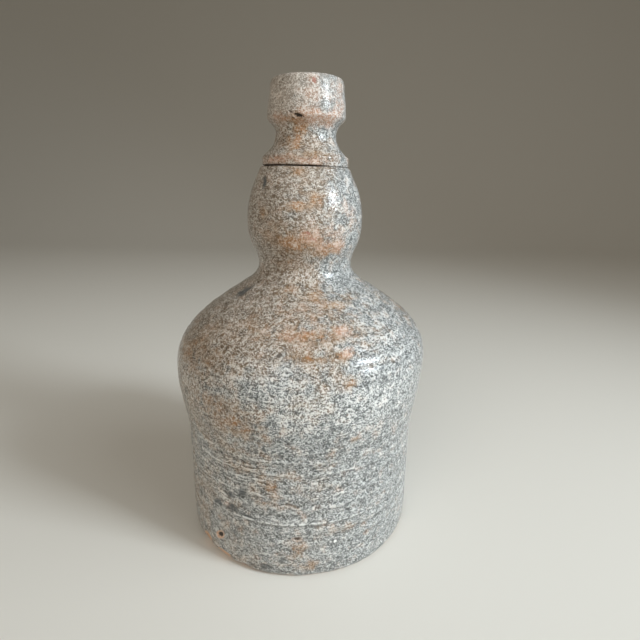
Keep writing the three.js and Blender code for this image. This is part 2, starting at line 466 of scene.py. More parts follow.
# Pink glaze, with two painted highlights on the right of the shoulder.
PINK_AND_HIGHLIGHT_PATCHES = [
    (10, 213, 22, 3.4, 0.75),
    (42, 212.6, 12, 3.6, 1.0),
    (8, 219, 30, 6, 0.4),
    (50, 218, 30, 8, 0.4),
    (55, 225, 24, 4, 0.45),
    (12, 227, 14, 2.4, 0.4),
    (-40, 213, 22, 2.0, 0.5),
    (-40, 194.4, 28, 1.8, 0.6),
    (8, 194, 24, 1.8, 0.5),
    (7, 161.5, 9, 3.2, 0.75),
    (30, 163, 10, 3, 0.35),
    (48, 172, 14, 8, 0.2),
    (38, 156, 12, 4, 0.4),
    (20, 157, 9, 3, 0.5),
    # Painted highlights: two small bright peach spots on the right of the shoulder.
    (22.4, 122.4, 4, 1.7, 0.85),
    (21.7, 115.8, 3, 2.2, 0.75),
    (2, 122, 22, 4, 0.2),
    (0, 128, 26, 4, 0.15),
    (-14, 122.5, 7, 2.2, 0.25),
    (-32, 35, 2, 1.4, 0.4),
    (-126, 213, 30, 3, 0.6),
    (100, 196, 30, 2.5, 0.5),
    (-96, 160, 24, 4, 0.5),
    (165, 120, 14, 4, 0.5),
]
# Paler glaze, with painted light over the front and right of the mouth and a painted highlight at the
# right of the constriction.
PALE_AND_HIGHLIGHT_PATCHES = [
    (16, 94, 50, 12, 0.7),
    (46, 118, 24, 14, 0.5),
    (-8, 102, 24, 5, 0.55),
    (-34, 98, 10, 5, 0.4),
    (-54, 100, 18, 16, 0.45),
    (-32.5, 37, 2.4, 3.0, 0.9),
    # Painted light over the front and right of the mouth.
    (16, 222, 70, 9, 0.5),
    (-30, 221, 24, 7, 0.35),
    (46, 213.6, 10, 3, 0.8),
    (60, 185, 34, 26, 0.35),
    # Painted highlight at the right of the constriction.
    (30, 142, 26, 5, 0.45),
    (8, 168.5, 14, 2.6, 0.4),
    (-160, 104, 50, 12, 0.6),
    (130, 80, 30, 16, 0.4),
    (-110, 220, 40, 9, 0.4),
]


def patches(table, azimuth, height, points, seed):
    """The patches as one mask from 0 to about 1, broken up at their edges."""
    mask = np.zeros_like(height)
    ragged = 1 + 0.5 * grain(points, 7 * MM, seed) + 0.5 * grain(points, 2.6 * MM, seed + 1)
    for centre, level, wide, high, strength in table:
        away = turned_from(azimuth, centre) / wide
        reach = away**2 + ((height - level * MM) / (high * MM)) ** 2
        mask = np.maximum(mask, strength * np.exp(-reach * 0.8))
    return np.clip(mask * ragged, 0, 1)


def ground_tone_and_side_light(azimuth, height, radius, points):
    """The ground under the flecks: 0 is slate grey, 1 is warm umber. The foot is slate and the neck
    warmer. The left, most of all on the shoulder, is painted warmer and a little darker as painted
    shade, and the lit right is painted slate as painted light."""
    high = 0.42 * smooth(70 * MM, 135 * MM, height)
    # Painted shade: the left side, away from the window, is warmer and a little darker.
    left = 0.30 * bump(turned_from(azimuth, -60), 0, 55) * (0.6 + 0.4 * smooth(50 * MM, 85 * MM, height))
    # Painted light: the lit right side is slate.
    right = -0.45 * bump(turned_from(azimuth, 62), 0, 40)
    drift = 0.30 * grain(points, 22 * MM, 19) + 0.22 * grain(points, 9 * MM, 20)
    return np.clip(0.27 + high + left + right + drift, 0, 1)


# ---------------- meshes


ON_AXIS = 1e-7


def turned(name, line, segments, shaping=None, marks=None):
    """A solid of revolution from an outline that runs with the clay on its left: closed on
    itself, or from the axis to the axis. shaping(azimuth, height, radius, points) gives how far
    each point moves out along its normal and up; marks is a dict of attributes of the points."""
    poles = line[0, 0] < ON_AXIS
    turn = np.linspace(-math.pi, math.pi, segments, endpoint=False)
    out = normals(line) if poles else normals(np.vstack([line[-1], line, line[0]]))[1:-1]
    radius = np.repeat(line[:, :1], segments, 1)
    height = np.repeat(line[:, 1:], segments, 1)
    azimuth = np.repeat(np.degrees(turn)[None], len(line), 0)
    around = np.stack([np.sin(turn), -np.cos(turn)], 1)

    def placed(r, z):
        return np.concatenate([around[None] * r[..., None], z[..., None]], 2)

    points = placed(radius, height)
    if shaping:
        move, rise = shaping(azimuth, height, radius, points)
        points = placed(radius + out[:, :1] * move, height + out[:, 1:] * move + rise)
    values = {key: make(azimuth, height, radius, points) for key, make in (marks or {}).items()}
    points = sway(points)
    if poles:
        return capped_mesh(name, points, values, segments)
    rows = np.arange(len(line))[:, None] * segments
    faces = ring_faces(rows, np.roll(rows, -1, 0), segments)
    return mesh_object(name, points.reshape(-1, 3), faces.tolist(), values)


def ring_faces(here, above, segments):
    """The quads between rows that start at the given point numbers."""
    j = np.arange(segments)[None]
    k = (j + 1) % segments
    return np.stack([here + j, here + k, above + k, above + j], -1).reshape(-1, 4)


def capped_mesh(name, points, values, segments):
    """A mesh whose first and last rows are single points on the axis."""
    whole = np.vstack([points[0, :1], points[1:-1].reshape(-1, 3), points[-1, :1]])
    rows = 1 + np.arange(len(points) - 2)[:, None] * segments
    faces = ring_faces(rows[:-1], rows[1:], segments).tolist()
    last, top = len(whole) - 1, int(rows[-1, 0])
    for j in range(segments):
        k = (j + 1) % segments
        faces.append([0, 1 + k, 1 + j])
        faces.append([last, top + j, top + k])
    trimmed = {
        key: np.concatenate([value[0, :1], value[1:-1].ravel(), value[-1, :1]])
        for key, value in values.items()
    }
    return mesh_object(name, whole, faces, trimmed)


def mesh_object(name, points, faces, values):
    """A smooth-shaded mesh object with a value of each attribute at each point."""
    mesh = bpy.data.meshes.new(name)
    mesh.from_pydata(points.tolist(), [], faces)
    for key, value in values.items():
        layer = mesh.attributes.new(key, "FLOAT", "POINT")
        layer.data.foreach_set("value", np.ascontiguousarray(value, np.float32).ravel())
    mesh.polygons.foreach_set("use_smooth", [True] * len(mesh.polygons))
    mesh.update()
    piece = bpy.data.objects.new(name, mesh)
    bpy.context.scene.collection.objects.link(piece)
    return piece


# ---------------- shader building


class Shader:
    """A material and short calls for its nodes. Inputs may be values or sockets."""

    def __init__(self, name):
        self.material = bpy.data.materials.new(name)
        self.material.use_nodes = True
        self.tree = self.material.node_tree
        self.surface = self.tree.nodes["Principled BSDF"].inputs

    def node(self, kind, **settings):
        """A new node with its settings."""
        made = self.tree.nodes.new(kind)
        for key, value in settings.items():
            setattr(made, key, value)
        return made

    def feed(self, socket, value):
        """Links a socket to an input, or sets the input to a plain value."""
        if isinstance(value, bpy.types.NodeSocket):
            self.tree.links.new(value, socket)
        elif socket.type == "RGBA":
            socket.default_value = (*value, 1)
        else:
            socket.default_value = value

    def math(self, operation, a, b=0.0):
        made = self.node("ShaderNodeMath", operation=operation)
        self.feed(made.inputs[0], a)
        self.feed(made.inputs[1], b)
        return made.outputs[0]

    def add(self, *terms):
        total = terms[0]
        for term in terms[1:]:
            total = self.math("ADD", total, term)
        return total

    def times(self, *factors):
        product = factors[0]
        for factor in factors[1:]:
            product = self.math("MULTIPLY", product, factor)
        return product

    def vector(self, operation, a, b):
        made = self.node("ShaderNodeVectorMath", operation=operation)
        self.feed(made.inputs[0], a)
        self.feed(made.inputs[1], b)
        return made

    def attribute(self, name):
        return self.node("ShaderNodeAttribute", attribute_name=name).outputs["Fac"]

    def place(self, squeeze=(1, 1, 1), start=(0, 0, 0)):
        """Object coordinates in millimetres, squeezed and moved."""
        coordinates = self.node("ShaderNodeTexCoord").outputs["Object"]
        mapping = self.node("ShaderNodeMapping")
        self.feed(mapping.inputs["Vector"], coordinates)
        mapping.inputs["Scale"].default_value = tuple(s / MM for s in squeeze)
        mapping.inputs["Location"].default_value = start
        return mapping.outputs[0]

    def noise(self, place, size, detail=2.0, roughness=0.5, distortion=0.0):
        """Noise about 0.5 with features about a size in millimetres across."""
        made = self.node("ShaderNodeTexNoise")
        self.feed(made.inputs["Vector"], place)
        made.inputs["Scale"].default_value = 1 / size
        made.inputs["Detail"].default_value = detail
        made.inputs["Roughness"].default_value = roughness
        made.inputs["Distortion"].default_value = distortion
        return made.outputs[0]

    def cells(self, place, size):
        """The distance to scattered points about a size in millimetres apart."""
        made = self.node("ShaderNodeTexVoronoi")
        self.feed(made.inputs["Vector"], place)
        made.inputs["Scale"].default_value = 1 / size
        return made.outputs["Distance"]

    def ramp(self, value, low, high, start=0.0, end=1.0):
        """The value stretched smoothly from low..high to start..end."""
        made = self.node("ShaderNodeMapRange", interpolation_type="SMOOTHSTEP")
        names = ("Value", "From Min", "From Max", "To Min", "To Max")
        for name, number in zip(names, (value, low, high, start, end)):
            self.feed(made.inputs[name], number)
        return made.outputs["Result"]

    def threads(self, noise, width):
        """Thin winding lines where a noise crosses its middle."""
        away = self.math("ABSOLUTE", self.add(noise, -0.5))
        return self.ramp(away, width, 0.3 * width)

    def comb_lines(self, spacing, wander):
        """Level lines a spacing apart in millimetres, from -1 to 1, that wander up and down."""
        height = self.node("ShaderNodeSeparateXYZ")
        self.feed(height.inputs[0], self.place())
        drift = self.add(self.noise(self.place((0.6, 0.6, 1)), 7, 2, 0.55), -0.5)
        cycles = self.add(self.times(height.outputs["Z"], 1 / spacing), self.times(drift, 4 * wander))
        return self.math("SINE", self.times(cycles, 2 * math.pi))

    def ring_lines(self, rings):
        """The crests of the sharp turns, and painted shade in the creases under them."""
        tilt = RING_CLIMB / BELLY_RADIUS
        upright = (-tilt * math.cos(RING_TURN), -tilt * math.sin(RING_TURN), 1)
        climb = self.vector("DOT_PRODUCT", self.place(), upright).outputs["Value"]
        drift = self.add(self.noise(self.place(), 5, 2, 0.6), -0.5)
        climb = self.add(climb, self.times(drift, 1.6))
        crest = crease = 0.0
        for level, _, _, _ in rings:
            above = self.add(climb, -level / MM)
            crest = self.add(crest, self.ramp(self.math("ABSOLUTE", above), 0.65, 0.2))
            below = self.math("ABSOLUTE", self.add(above, 0.95))
            crease = self.add(crease, self.ramp(below, 0.7, 0.2))
        share = self.times(self.attribute("ring"), self.ramp(self.noise(self.place(), 1.8, 2), 0.40, 0.55))
        return self.times(crest, share), self.times(crease, share)

    def mix(self, share, a, b):
        """Colour a turning into colour b as the share goes from 0 to 1."""
        made = self.node("ShaderNodeMix", data_type="RGBA")
        self.feed(made.inputs["Factor"], share)
        first, second = (socket for socket in made.inputs if socket.type == "RGBA")
        self.feed(first, a)
        self.feed(second, b)
        return next(socket for socket in made.outputs if socket.type == "RGBA")

    def bumps(self, height, distance, strength):
        made = self.node("ShaderNodeBump")
        made.inputs["Distance"].default_value = distance
        made.inputs["Strength"].default_value = strength
        self.feed(made.inputs["Height"], height)
        return made.outputs[0]

    def reach(self, mark):
        """The distance from a blemish's middle, 1 at its edge."""
        middle, across, up = on_glaze(mark.azimuth, mark.height)
        c, s = math.cos(mark.slant), math.sin(mark.slant)
        along, over = (across * c + up * s) / mark.long, (up * c - across * s) / mark.wide
        away = self.vector("SUBTRACT", self.place((MM, MM, MM)), tuple(middle)).outputs[0]
        through = np.cross(across, up) / (6 * MM)
        offset = self.node("ShaderNodeCombineXYZ")
        for socket, axis in zip(offset.inputs, (along, over, through)):
            self.feed(socket, self.vector("DOT_PRODUCT", away, tuple(axis)).outputs["Value"])
        return self.vector("LENGTH", offset.outputs[0], (0, 0, 0)).outputs["Value"]


# ---------------- materials

# Colours in linear light. Over the ground colours of the glaze lie its threads.
SLATE = (0.140, 0.148, 0.147)
# Umber is also the painted warm shade on the left side.
UMBER = (0.182, 0.130, 0.088)
# Dark of pooled glaze, also the painted shade in the creases and the comb valleys.
POOL_AND_SHADE_DARK = (0.050, 0.047, 0.038)
BLOTCH_BLUE = (0.078, 0.088, 0.092)
THIN_BROWN = (0.225, 0.138, 0.072)
THIN_ORANGE = (0.36, 0.178, 0.072)
THIN_PINK = (0.54, 0.315, 0.215)
CALM_GREY = (0.235, 0.240, 0.228)
CALM_CREAM = (0.42, 0.375, 0.325)
CALM_THREAD = (0.50, 0.51, 0.50)
CALM_SAND = (0.66, 0.57, 0.49)
THREAD_COOL = (0.71, 0.72, 0.70)
THREAD_WARM = (0.71, 0.665, 0.595)
THREAD_SAND = (0.64, 0.50, 0.37)
THREAD_ROSE = (0.78, 0.64, 0.57)
THREAD_WHITE = (0.86, 0.86, 0.83)
SPECK_DARK = (0.050, 0.045, 0.038)
SPOT_RED = (0.40, 0.17, 0.13)
BARE_PEACH = (0.70, 0.45, 0.30)
# Painted shade at the bottom of a pit.
PIT_SHADE = (0.045, 0.032, 0.024)
CLAY_BROWN = (0.40, 0.235, 0.15)
CLAY_PINK = (0.55, 0.33, 0.235)
CLAY_PALE = (0.66, 0.47, 0.36)
CLAY_DARK = (0.22, 0.125, 0.08)
# The darker brown round the foot's outer edge.
CLAY_RIM_DARK = (0.13, 0.085, 0.055)
IRON = (0.07, 0.035, 0.025)
SLIP_DARK = (0.022, 0.019, 0.016)
SLIP_BROWN = (0.060, 0.045, 0.034)
LINING_BROWN = (0.135, 0.105, 0.075)
LINING_GREY = (0.20, 0.19, 0.165)
LINING_PALE = (0.34, 0.32, 0.28)


def on_glaze(azimuth, height):
    """A point of the glaze face, with the directions across and up at it."""
    line = collar_face(MM) if height > GROOVE else body_face(MM)
    rising = line[: np.argmax(line[:, 1]) + 1]
    turn = math.radians(azimuth)
    out = np.array([math.sin(turn), -math.cos(turn), 0])
    low, high = (at_height(rising, height + step)[0] for step in (-MM, MM))
    up = np.array([*(out[:2] * (high - low)), 2 * MM])
    point = sway(out * at_height(rising, height)[0] + [0, 0, height])
    return point, np.array([math.cos(turn), math.sin(turn), 0]), up / np.linalg.norm(up)


# A pit this deep is painted fully dark with shade.
DARK_DEPTH = 0.75 * MM


def blemished(s, colour, blemishes, ragged):
    """The colour with its pebbles, chips and pits, and how bare of glaze they leave the clay.
    A pit is painted with shade, as dark as it is deep, down to DARK_DEPTH."""
    bare = 0.0
    for mark in blemishes:
        away = s.add(s.reach(mark), ragged)
        if mark.kind == "pebble":
            colour = s.mix(s.ramp(away, 1.7, 1.2, 0, 0.6), colour, POOL_AND_SHADE_DARK)
            colour = s.mix(s.ramp(away, 1.0, 0.8), colour, THREAD_WHITE)
        if mark.kind == "chip":
            colour = s.mix(s.ramp(away, 1.15, 0.8, 0, 0.9), colour, BARE_PEACH)
            bare = s.math("MAXIMUM", bare, s.ramp(away, 1.1, 0.8))
        if mark.kind == "hole":
            colour = s.mix(s.times(s.ramp(away, 1.6, 1.2), mark.rim), colour, BARE_PEACH)
            dark = min(1, mark.depth / DARK_DEPTH)
            # Painted shade in the pit, darker the deeper it is.
            colour = s.mix(s.ramp(away, 0.98, 0.66, 0, dark), colour, PIT_SHADE)
            bare = s.math("MAXIMUM", bare, s.ramp(away, 1.4, 1.0))
    return colour, bare


def curdled_glaze(name, blemishes, reds):
    """A glossy ash glaze that has curdled into pale threads over a slate and umber ground, and
    broken to orange and pink where it is thin. The ground is painted warmer on the shaded left
    and slate on the lit right, and a few pale and pink patches are painted highlights. Under it all
    lie the dark pooling, the rings and the potter's comb lines, with painted shade in the creases
    under the sharp turns and in the comb valleys, and over it a clear, smooth coat that mirrors
    the window."""
    s = Shader(name)
    place, lying = s.place(), s.place((0.9, 0.9, 1.7))
    brown, pink, pale = s.attribute("brown"), s.attribute("pink"), s.attribute("pale")
    tone, relief, blotch = s.attribute("tone"), s.attribute("relief"), s.attribute("blotch")
    level, calm = s.attribute("level"), s.attribute("calm")

    # The noises that the rest is made of, from broad to fine, and the level lines.
    clouds = s.noise(place, 5.5, 3, 0.6)
    fine = s.noise(place, 0.6, 2, 0.6)
    clots = s.noise(s.place((1, 1, 1.2)), 1.25, 2, 0.62, 0.5)
    streaks = s.noise(lying, 2.9, 2, 0.5, 0.8)
    worms = s.noise(s.place((1, 1, 1.1), (31, 17, 5)), 2.6, 2, 0.5, 1.4)
    cloudy = s.add(clouds, -0.5)
    comb = s.times(s.comb_lines(2.5, 0.75), s.attribute("comb"))
    # shadow is painted shade in the crease under each sharp turn.
    ring, shadow = s.ring_lines(RINGS)

    # Where the pale threads and flecks lie, and where the glaze has pooled dark, with painted shade in the
    # creases under the sharp turns and in the comb valleys.
    lines = s.times(s.threads(streaks, 0.038), s.ramp(clots, 0.36, 0.50))
    curls = s.times(s.threads(worms, 0.038), s.ramp(fine, 0.34, 0.48))
    lines = s.times(lines, s.ramp(level, 0, 1, 0.95, 0.7))
    curls = s.times(curls, s.ramp(level, 0, 1, 0.8, 1.0))
    thickness = s.add(s.times(clots, 0.50), s.times(fine, 0.50), s.times(cloudy, 0.30))
    thickness = s.add(thickness, s.times(pale, 0.06), s.times(relief, 0.05), s.times(comb, 0.055))
    # The painted shade under the sharp turns also thins the flecks there.
    thickness = s.add(thickness, s.times(blotch, -0.16), s.times(ring, 0.10), s.times(shadow, -0.06))
    # The pale mask raises the contrast, as paler glaze and as painted light.
    thickness = s.add(0.5, s.times(s.add(thickness, -0.5), s.ramp(pale, 0, 1, 1.0, 1.6)))
    flecks = s.times(s.ramp(thickness, 0.555, 0.61), s.ramp(level, 0, 1, 0.95, 0.75))
    light = s.math("MAXIMUM", s.math("MAXIMUM", lines, curls), flecks)
    light = s.times(light, s.ramp(blotch, 0.0, 0.8, 1.0, 0.25))
    light = s.math("MAXIMUM", light, s.times(ring, 0.8))
    bright = s.ramp(thickness, 0.56, 0.64)
    pools_and_shade = s.times(s.ramp(thickness, 0.45, 0.38), s.ramp(level, 0, 1, 0.9, 0.6))
    # Painted shade: the creases under the sharp turns and the comb valleys darken like the pools.
    pools_and_shade = s.math("MAXIMUM", pools_and_shade, s.times(shadow, 0.7))
    pools_and_shade = s.math("MAXIMUM", pools_and_shade, s.ramp(comb, -0.35, -0.95, 0, 0.6))

    # The ground, broken to brown, orange and pink.
    # The tone carries painted side light: warmer umber on the shaded left, slate on the lit right.
    ground = s.mix(s.ramp(s.add(tone, s.times(cloudy, 1.1)), 0.25, 0.75), SLATE, UMBER)
    ground = s.mix(s.times(calm, 0.7), ground, s.mix(tone, CALM_GREY, CALM_CREAM))
    brown_share = s.ramp(s.add(brown, s.times(cloudy, 1.6), s.times(fine, 0.8), -0.4), 0.0, 0.8)
    thinner = s.add(brown, s.times(s.add(worms, -0.5), 1.6))
    thin = s.mix(s.ramp(thinner, 0.4, 0.95), THIN_BROWN, THIN_ORANGE)
    ground = s.mix(s.times(brown_share, 0.85), ground, thin)
    # Pink patches, two of which are painted highlights on the shoulder.
    pink_share = s.ramp(s.add(pink, s.times(cloudy, 1.3), s.times(clots, 0.8), -0.4), 0.0, 0.8)
    ground = s.mix(s.times(pink_share, 0.8), ground, THIN_PINK)
    # The dark of the pools, with the painted shade of the creases and the comb valleys.
    pooled_and_shaded = s.times(pools_and_shade, s.ramp(pink, 0, 1, 0.85, 0.4), s.ramp(calm, 0, 1, 1.0, 0.3))
    ground = s.mix(pooled_and_shaded, ground, POOL_AND_SHADE_DARK)
    ground = s.mix(s.times(blotch, 0.85), ground, BLOTCH_BLUE)

    # The threads over it, and the marks over both.
    # The threads are also warmer on the shaded left, as painted shade.
    thread = s.mix(s.ramp(s.add(tone, cloudy), 0.25, 0.75), THREAD_COOL, THREAD_WARM)
    thread = s.mix(s.times(brown_share, 0.6), thread, THREAD_SAND)
    thread = s.mix(s.times(pink_share, 0.5), thread, THREAD_ROSE)
    # The pale mask whitens the threads, as paler glaze and as painted light.
    thread = s.mix(s.times(bright, s.add(0.5, s.times(pale, 0.4))), thread, THREAD_WHITE)
    calmed = s.times(calm, s.ramp(s.math("MAXIMUM", brown_share, pink_share), 0, 1, 0.6, 0.2))
    thread = s.mix(calmed, thread, s.mix(tone, CALM_THREAD, CALM_SAND))
    colour = s.mix(s.times(light, s.ramp(brown_share, 0, 1, 0.96, 0.7)), ground, thread)
    colour = s.mix(s.ramp(s.cells(place, 6.5), 0.075, 0.045, 0, 0.75), colour, SPECK_DARK)
    for mark in reds:
        share = s.ramp(s.add(s.reach(mark), s.times(s.add(clots, -0.5), 2.4)), 1.1, 0.5)
        colour = s.mix(s.times(share, 0.7), colour, SPOT_RED)
    colour, bare = blemished(s, colour, blemishes, s.times(s.add(fine, -0.5), 0.9))
    s.feed(s.surface["Base Color"], colour)

    # The gloss, rougher on threads and bare clay, and the relief too fine for the mesh.
    gloss = s.add(s.ramp(clouds, 0.35, 0.65, 0.27, 0.38), s.times(light, 0.05), s.times(bare, 0.4))
    s.feed(s.surface["Roughness"], gloss)
    s.surface["IOR"].default_value = 1.5
    s.surface["Specular IOR Level"].default_value = 0.12
    s.feed(s.surface["Coat Weight"], s.ramp(calm, 0.2, 0.6, 0.6, 0.25))
    s.surface["Coat Roughness"].default_value = 0.055
    skin = s.add(s.times(light, 0.22), s.times(fine, 0.6), s.times(clots, 0.55))
    skin = s.add(skin, s.times(comb, 0.28), s.times(ring, 0.5), s.times(shadow, -0.3))
    s.feed(s.surface["Normal"], s.bumps(skin, 0.4 * MM, 0.75))
    s.feed(s.surface["Coat Normal"], s.bumps(s.add(clouds, clots, s.times(fine, 0.6)), 0.3 * MM, 0.3))
    return s.material


def bare_clay(name):
    """Fired stoneware clay: pinkish brown, gritty, with iron specks and finger lines. An attribute
    darkens it round the foot's outer edge, and it is palest where it is freshly chipped."""
    s = Shader(name)
    place = s.place()
    grit = s.noise(place, 0.6, 4, 0.65)
    cloud = s.noise(place, 14, 3, 0.55)
    lines = s.noise(s.place((0.15, 0.15, 1)), 1.1, 2, 0.5)
    colour = s.mix(s.ramp(cloud, 0.35, 0.65), CLAY_BROWN, CLAY_PINK)
    colour = s.mix(s.ramp(grit, 0.56, 0.70, 0, 0.6), colour, CLAY_PALE)
    colour = s.mix(s.ramp(grit, 0.42, 0.30, 0, 0.6), colour, CLAY_DARK)
    colour = s.mix(s.ramp(s.cells(place, 3.2), 0.12, 0.06, 0, 0.85), colour, IRON)
    colour = s.mix(s.times(s.attribute("rim_dark"), 0.85), colour, CLAY_RIM_DARK)
    colour = s.mix(s.times(s.attribute("chip"), 0.8), colour, BARE_PEACH)
    s.feed(s.surface["Base Color"], colour)
    s.feed(s.surface["Roughness"], s.ramp(grit, 0.3, 0.7, 0.72, 0.92))
    s.feed(s.surface["Normal"], s.bumps(s.add(s.times(lines, 0.6), s.times(grit, 0.4)), 0.5 * MM, 0.6))
    return s.material


def fired_slip(name):
    """The slip in the joints: dark, dry and lumpy."""
    s = Shader(name)
    lumps = s.noise(s.place(), 0.9, 4, 0.6)
    s.feed(s.surface["Base Color"], s.mix(s.ramp(lumps, 0.4, 0.6), SLIP_DARK, SLIP_BROWN))
    s.feed(s.surface["Roughness"], s.ramp(lumps, 0.3, 0.7, 0.8, 0.95))
    s.feed(s.surface["Normal"], s.bumps(lumps, 0.4 * MM, 0.6))
    return s.material


def lining_glaze(name):
    """The thin lining coat: brown-grey and satin, streaked where it ran as it was poured out."""
    s = Shader(name)
    runs = s.noise(s.place((1, 1, 0.12)), 5, 3, 0.55)
    mottle = s.noise(s.place(), 1.6, 3, 0.6, 0.5)
    colour = s.mix(s.ramp(runs, 0.35, 0.65), LINING_BROWN, LINING_GREY)
    colour = s.mix(s.ramp(mottle, 0.52, 0.66, 0, 0.55), colour, LINING_PALE)
    s.feed(s.surface["Base Color"], colour)
    s.feed(s.surface["Roughness"], s.ramp(mottle, 0.3, 0.7, 0.28, 0.42))
    s.feed(s.surface["Normal"], s.bumps(mottle, 0.3 * MM, 0.4))
    s.surface["IOR"].default_value = 1.5
    return s.material


# ---------------- pieces

BODY_SEGMENTS = 310
COLLAR_SEGMENTS = 360
FOOT_SEGMENTS = 288
LINING_SEGMENTS = 160
HIDDEN_SEGMENTS = 144
EDGE_ROUNDING = 0.45 * MM

# Where the groove has closed, the glaze on both sides of it swells out and towards the other.
CLOSING_REACH = 0.9 * MM
CLOSING_SWELL = 0.3 * MM
CLOSING_RISE = 0.42 * MM


def painted(table, seed):
    """A maker of the attribute that holds a table's patches."""
    return lambda azimuth, height, radius, points: patches(table, azimuth, height, points, seed)


def ring_light(azimuth, height, radius, points):
    """The crests of the turns, where the glaze's threads gather."""
    return throwing_rings(azimuth, height, points) * ring_depth(height) / (0.2 * MM)


def ring_share(azimuth, height, radius, points):
    """Where the sharp turns run, from 0 to 1."""
    return sum(
        share * bump(height, level, 2.6 * MM) * ring_reach(azimuth, middle, wide)
        for level, middle, wide, share in RINGS
    )


def comb_share(azimuth, height, radius, points):
    """Where the potter's rib left fine close lines, from 0 to 1."""
    wall = smooth(34 * MM, 42 * MM, height) * (1 - smooth(62 * MM, 78 * MM, height))
    dome = smooth(100 * MM, 106 * MM, height) * (1 - smooth(130 * MM, 138 * MM, height))
    left = 0.35 + 0.65 * np.exp(-((turned_from(azimuth, -30) / 46) ** 4))
    patchy = smooth(-0.35, 0.25, grain(points, 17 * MM, 25))
    return (0.12 + wall * left + 0.5 * dome) * (0.25 + 0.75 * patchy)


def calm_glaze(azimuth, height, radius, points):
    """Where the glaze lies thick and even, from 0 to 1: the cup, and the foot of the wall."""
    cup = 0.62 * smooth(207 * MM, 214 * MM, height)
    wall = 0.30 * (1 - smooth(40 * MM, 76 * MM, height))
    bulb = 0.12 * smooth(142 * MM, 150 * MM, height)
    return np.clip((bulb + cup + wall) * (1 + 0.5 * grain(points, 11 * MM, 27)), 0, 1)


def lying_threads(azimuth, height, radius, points):
    """0 where the threads lie level, low on the body, to 1 where they curl."""
    return smooth(62 * MM, 150 * MM, height)


GLAZE_MARKS = {
    "brown": painted(BROWN_PATCHES, 11),
    "pink": painted(PINK_AND_HIGHLIGHT_PATCHES, 13),
    "pale": painted(PALE_AND_HIGHLIGHT_PATCHES, 15),
    "tone": ground_tone_and_side_light,
    "relief": ring_light,
    "ring": ring_share,
    "calm": calm_glaze,
    "comb": comb_share,
    "blotch": blotches,
    "level": lying_threads,
}


def coat_outline(face, back):
    """A coat's closed outline: its face with both edges rounded, then its back."""
    face = face.copy()
    for end in (0, -1):
        face[end] -= normals(face)[end] * EDGE_ROUNDING
    return np.vstack([face, back[::-1]])


def level_ends(line, low, high):
    """The line with its ends moved to two heights."""
    line = line.copy()
    line[0, 1], line[-1, 1] = low, high
    return line


def outer_coat(name, face, back, groove_side, rise, segments):
    """A coat from its face and its back, with relief on the face. Its edge at groove_side rises
    by up to rise where the groove has closed, and its edge at the foot is uneven."""
    line = coat_outline(face, back)
    front = (np.arange(len(line)) < len(face))[:, None]

    def shaping(azimuth, height, radius, points):
        near = np.exp(-np.abs(height - groove_side) / CLOSING_REACH) * groove_closing(azimuth)
        move = (glaze_relief(azimuth, height, radius, points) + CLOSING_SWELL * near) * front
        return move, foot_edge(azimuth, height, points) + rise * near

    return turned(name, line, segments, shaping, GLAZE_MARKS)


def body_coat():
    """The outer coat up to the groove."""
    face = body_face(0.9 * MM)
    back = level_ends(inset(body_face(14 * MM), GLAZE), COAT_FOOT, GROOVE_LOW)
    return outer_coat("glaze_body", face, back, GROOVE_LOW, CLOSING_RISE, BODY_SEGMENTS)


def collar_coat():
    """The outer coat from the groove over the lip and into the bore."""
    face = collar_face(0.5 * MM)
    back = level_ends(inset(collar_face(5 * MM), GLAZE), GROOVE_HIGH, LINING_TOP + GAP)
    return outer_coat("glaze_collar", face, back, GROOVE_HIGH, -CLOSING_RISE, COLLAR_SEGMENTS)


def clay_relief(azimuth, height, radius, points):
    """Faint throwing rings on the clay, and no rise."""
    return throwing_rings(azimuth, height, points) * 0.06 * MM, 0


def clay_section(name, bottom, top):
    """A thrown section between two joints, with a bevel at each end."""
    outside = between(clay_face(3 * MM), bottom + JOINT, top - JOINT)
    inside = between(bore_face(4 * MM), bottom + JOINT_RISE + JOINT, top + JOINT_RISE - JOINT)
    return turned(name, np.vstack([outside, inside[::-1]]), HIDDEN_SEGMENTS, clay_relief)


def clay_mouth():
    """The section with the collar and the mouth, open through the throat."""
    low = GROOVE + JOINT
    outside = inset(collar_face(1.5 * MM), GLAZE + GAP)
    outside[0, 1] = low
    outside = np.vstack([outside[:1], outside[1:][outside[1:, 1] > low]])
    inside = between(bore_face(2 * MM), low + JOINT_RISE, LINING_TOP)
    return turned("clay_mouth", np.vstack([outside, inside[::-1]]), HIDDEN_SEGMENTS, clay_relief)


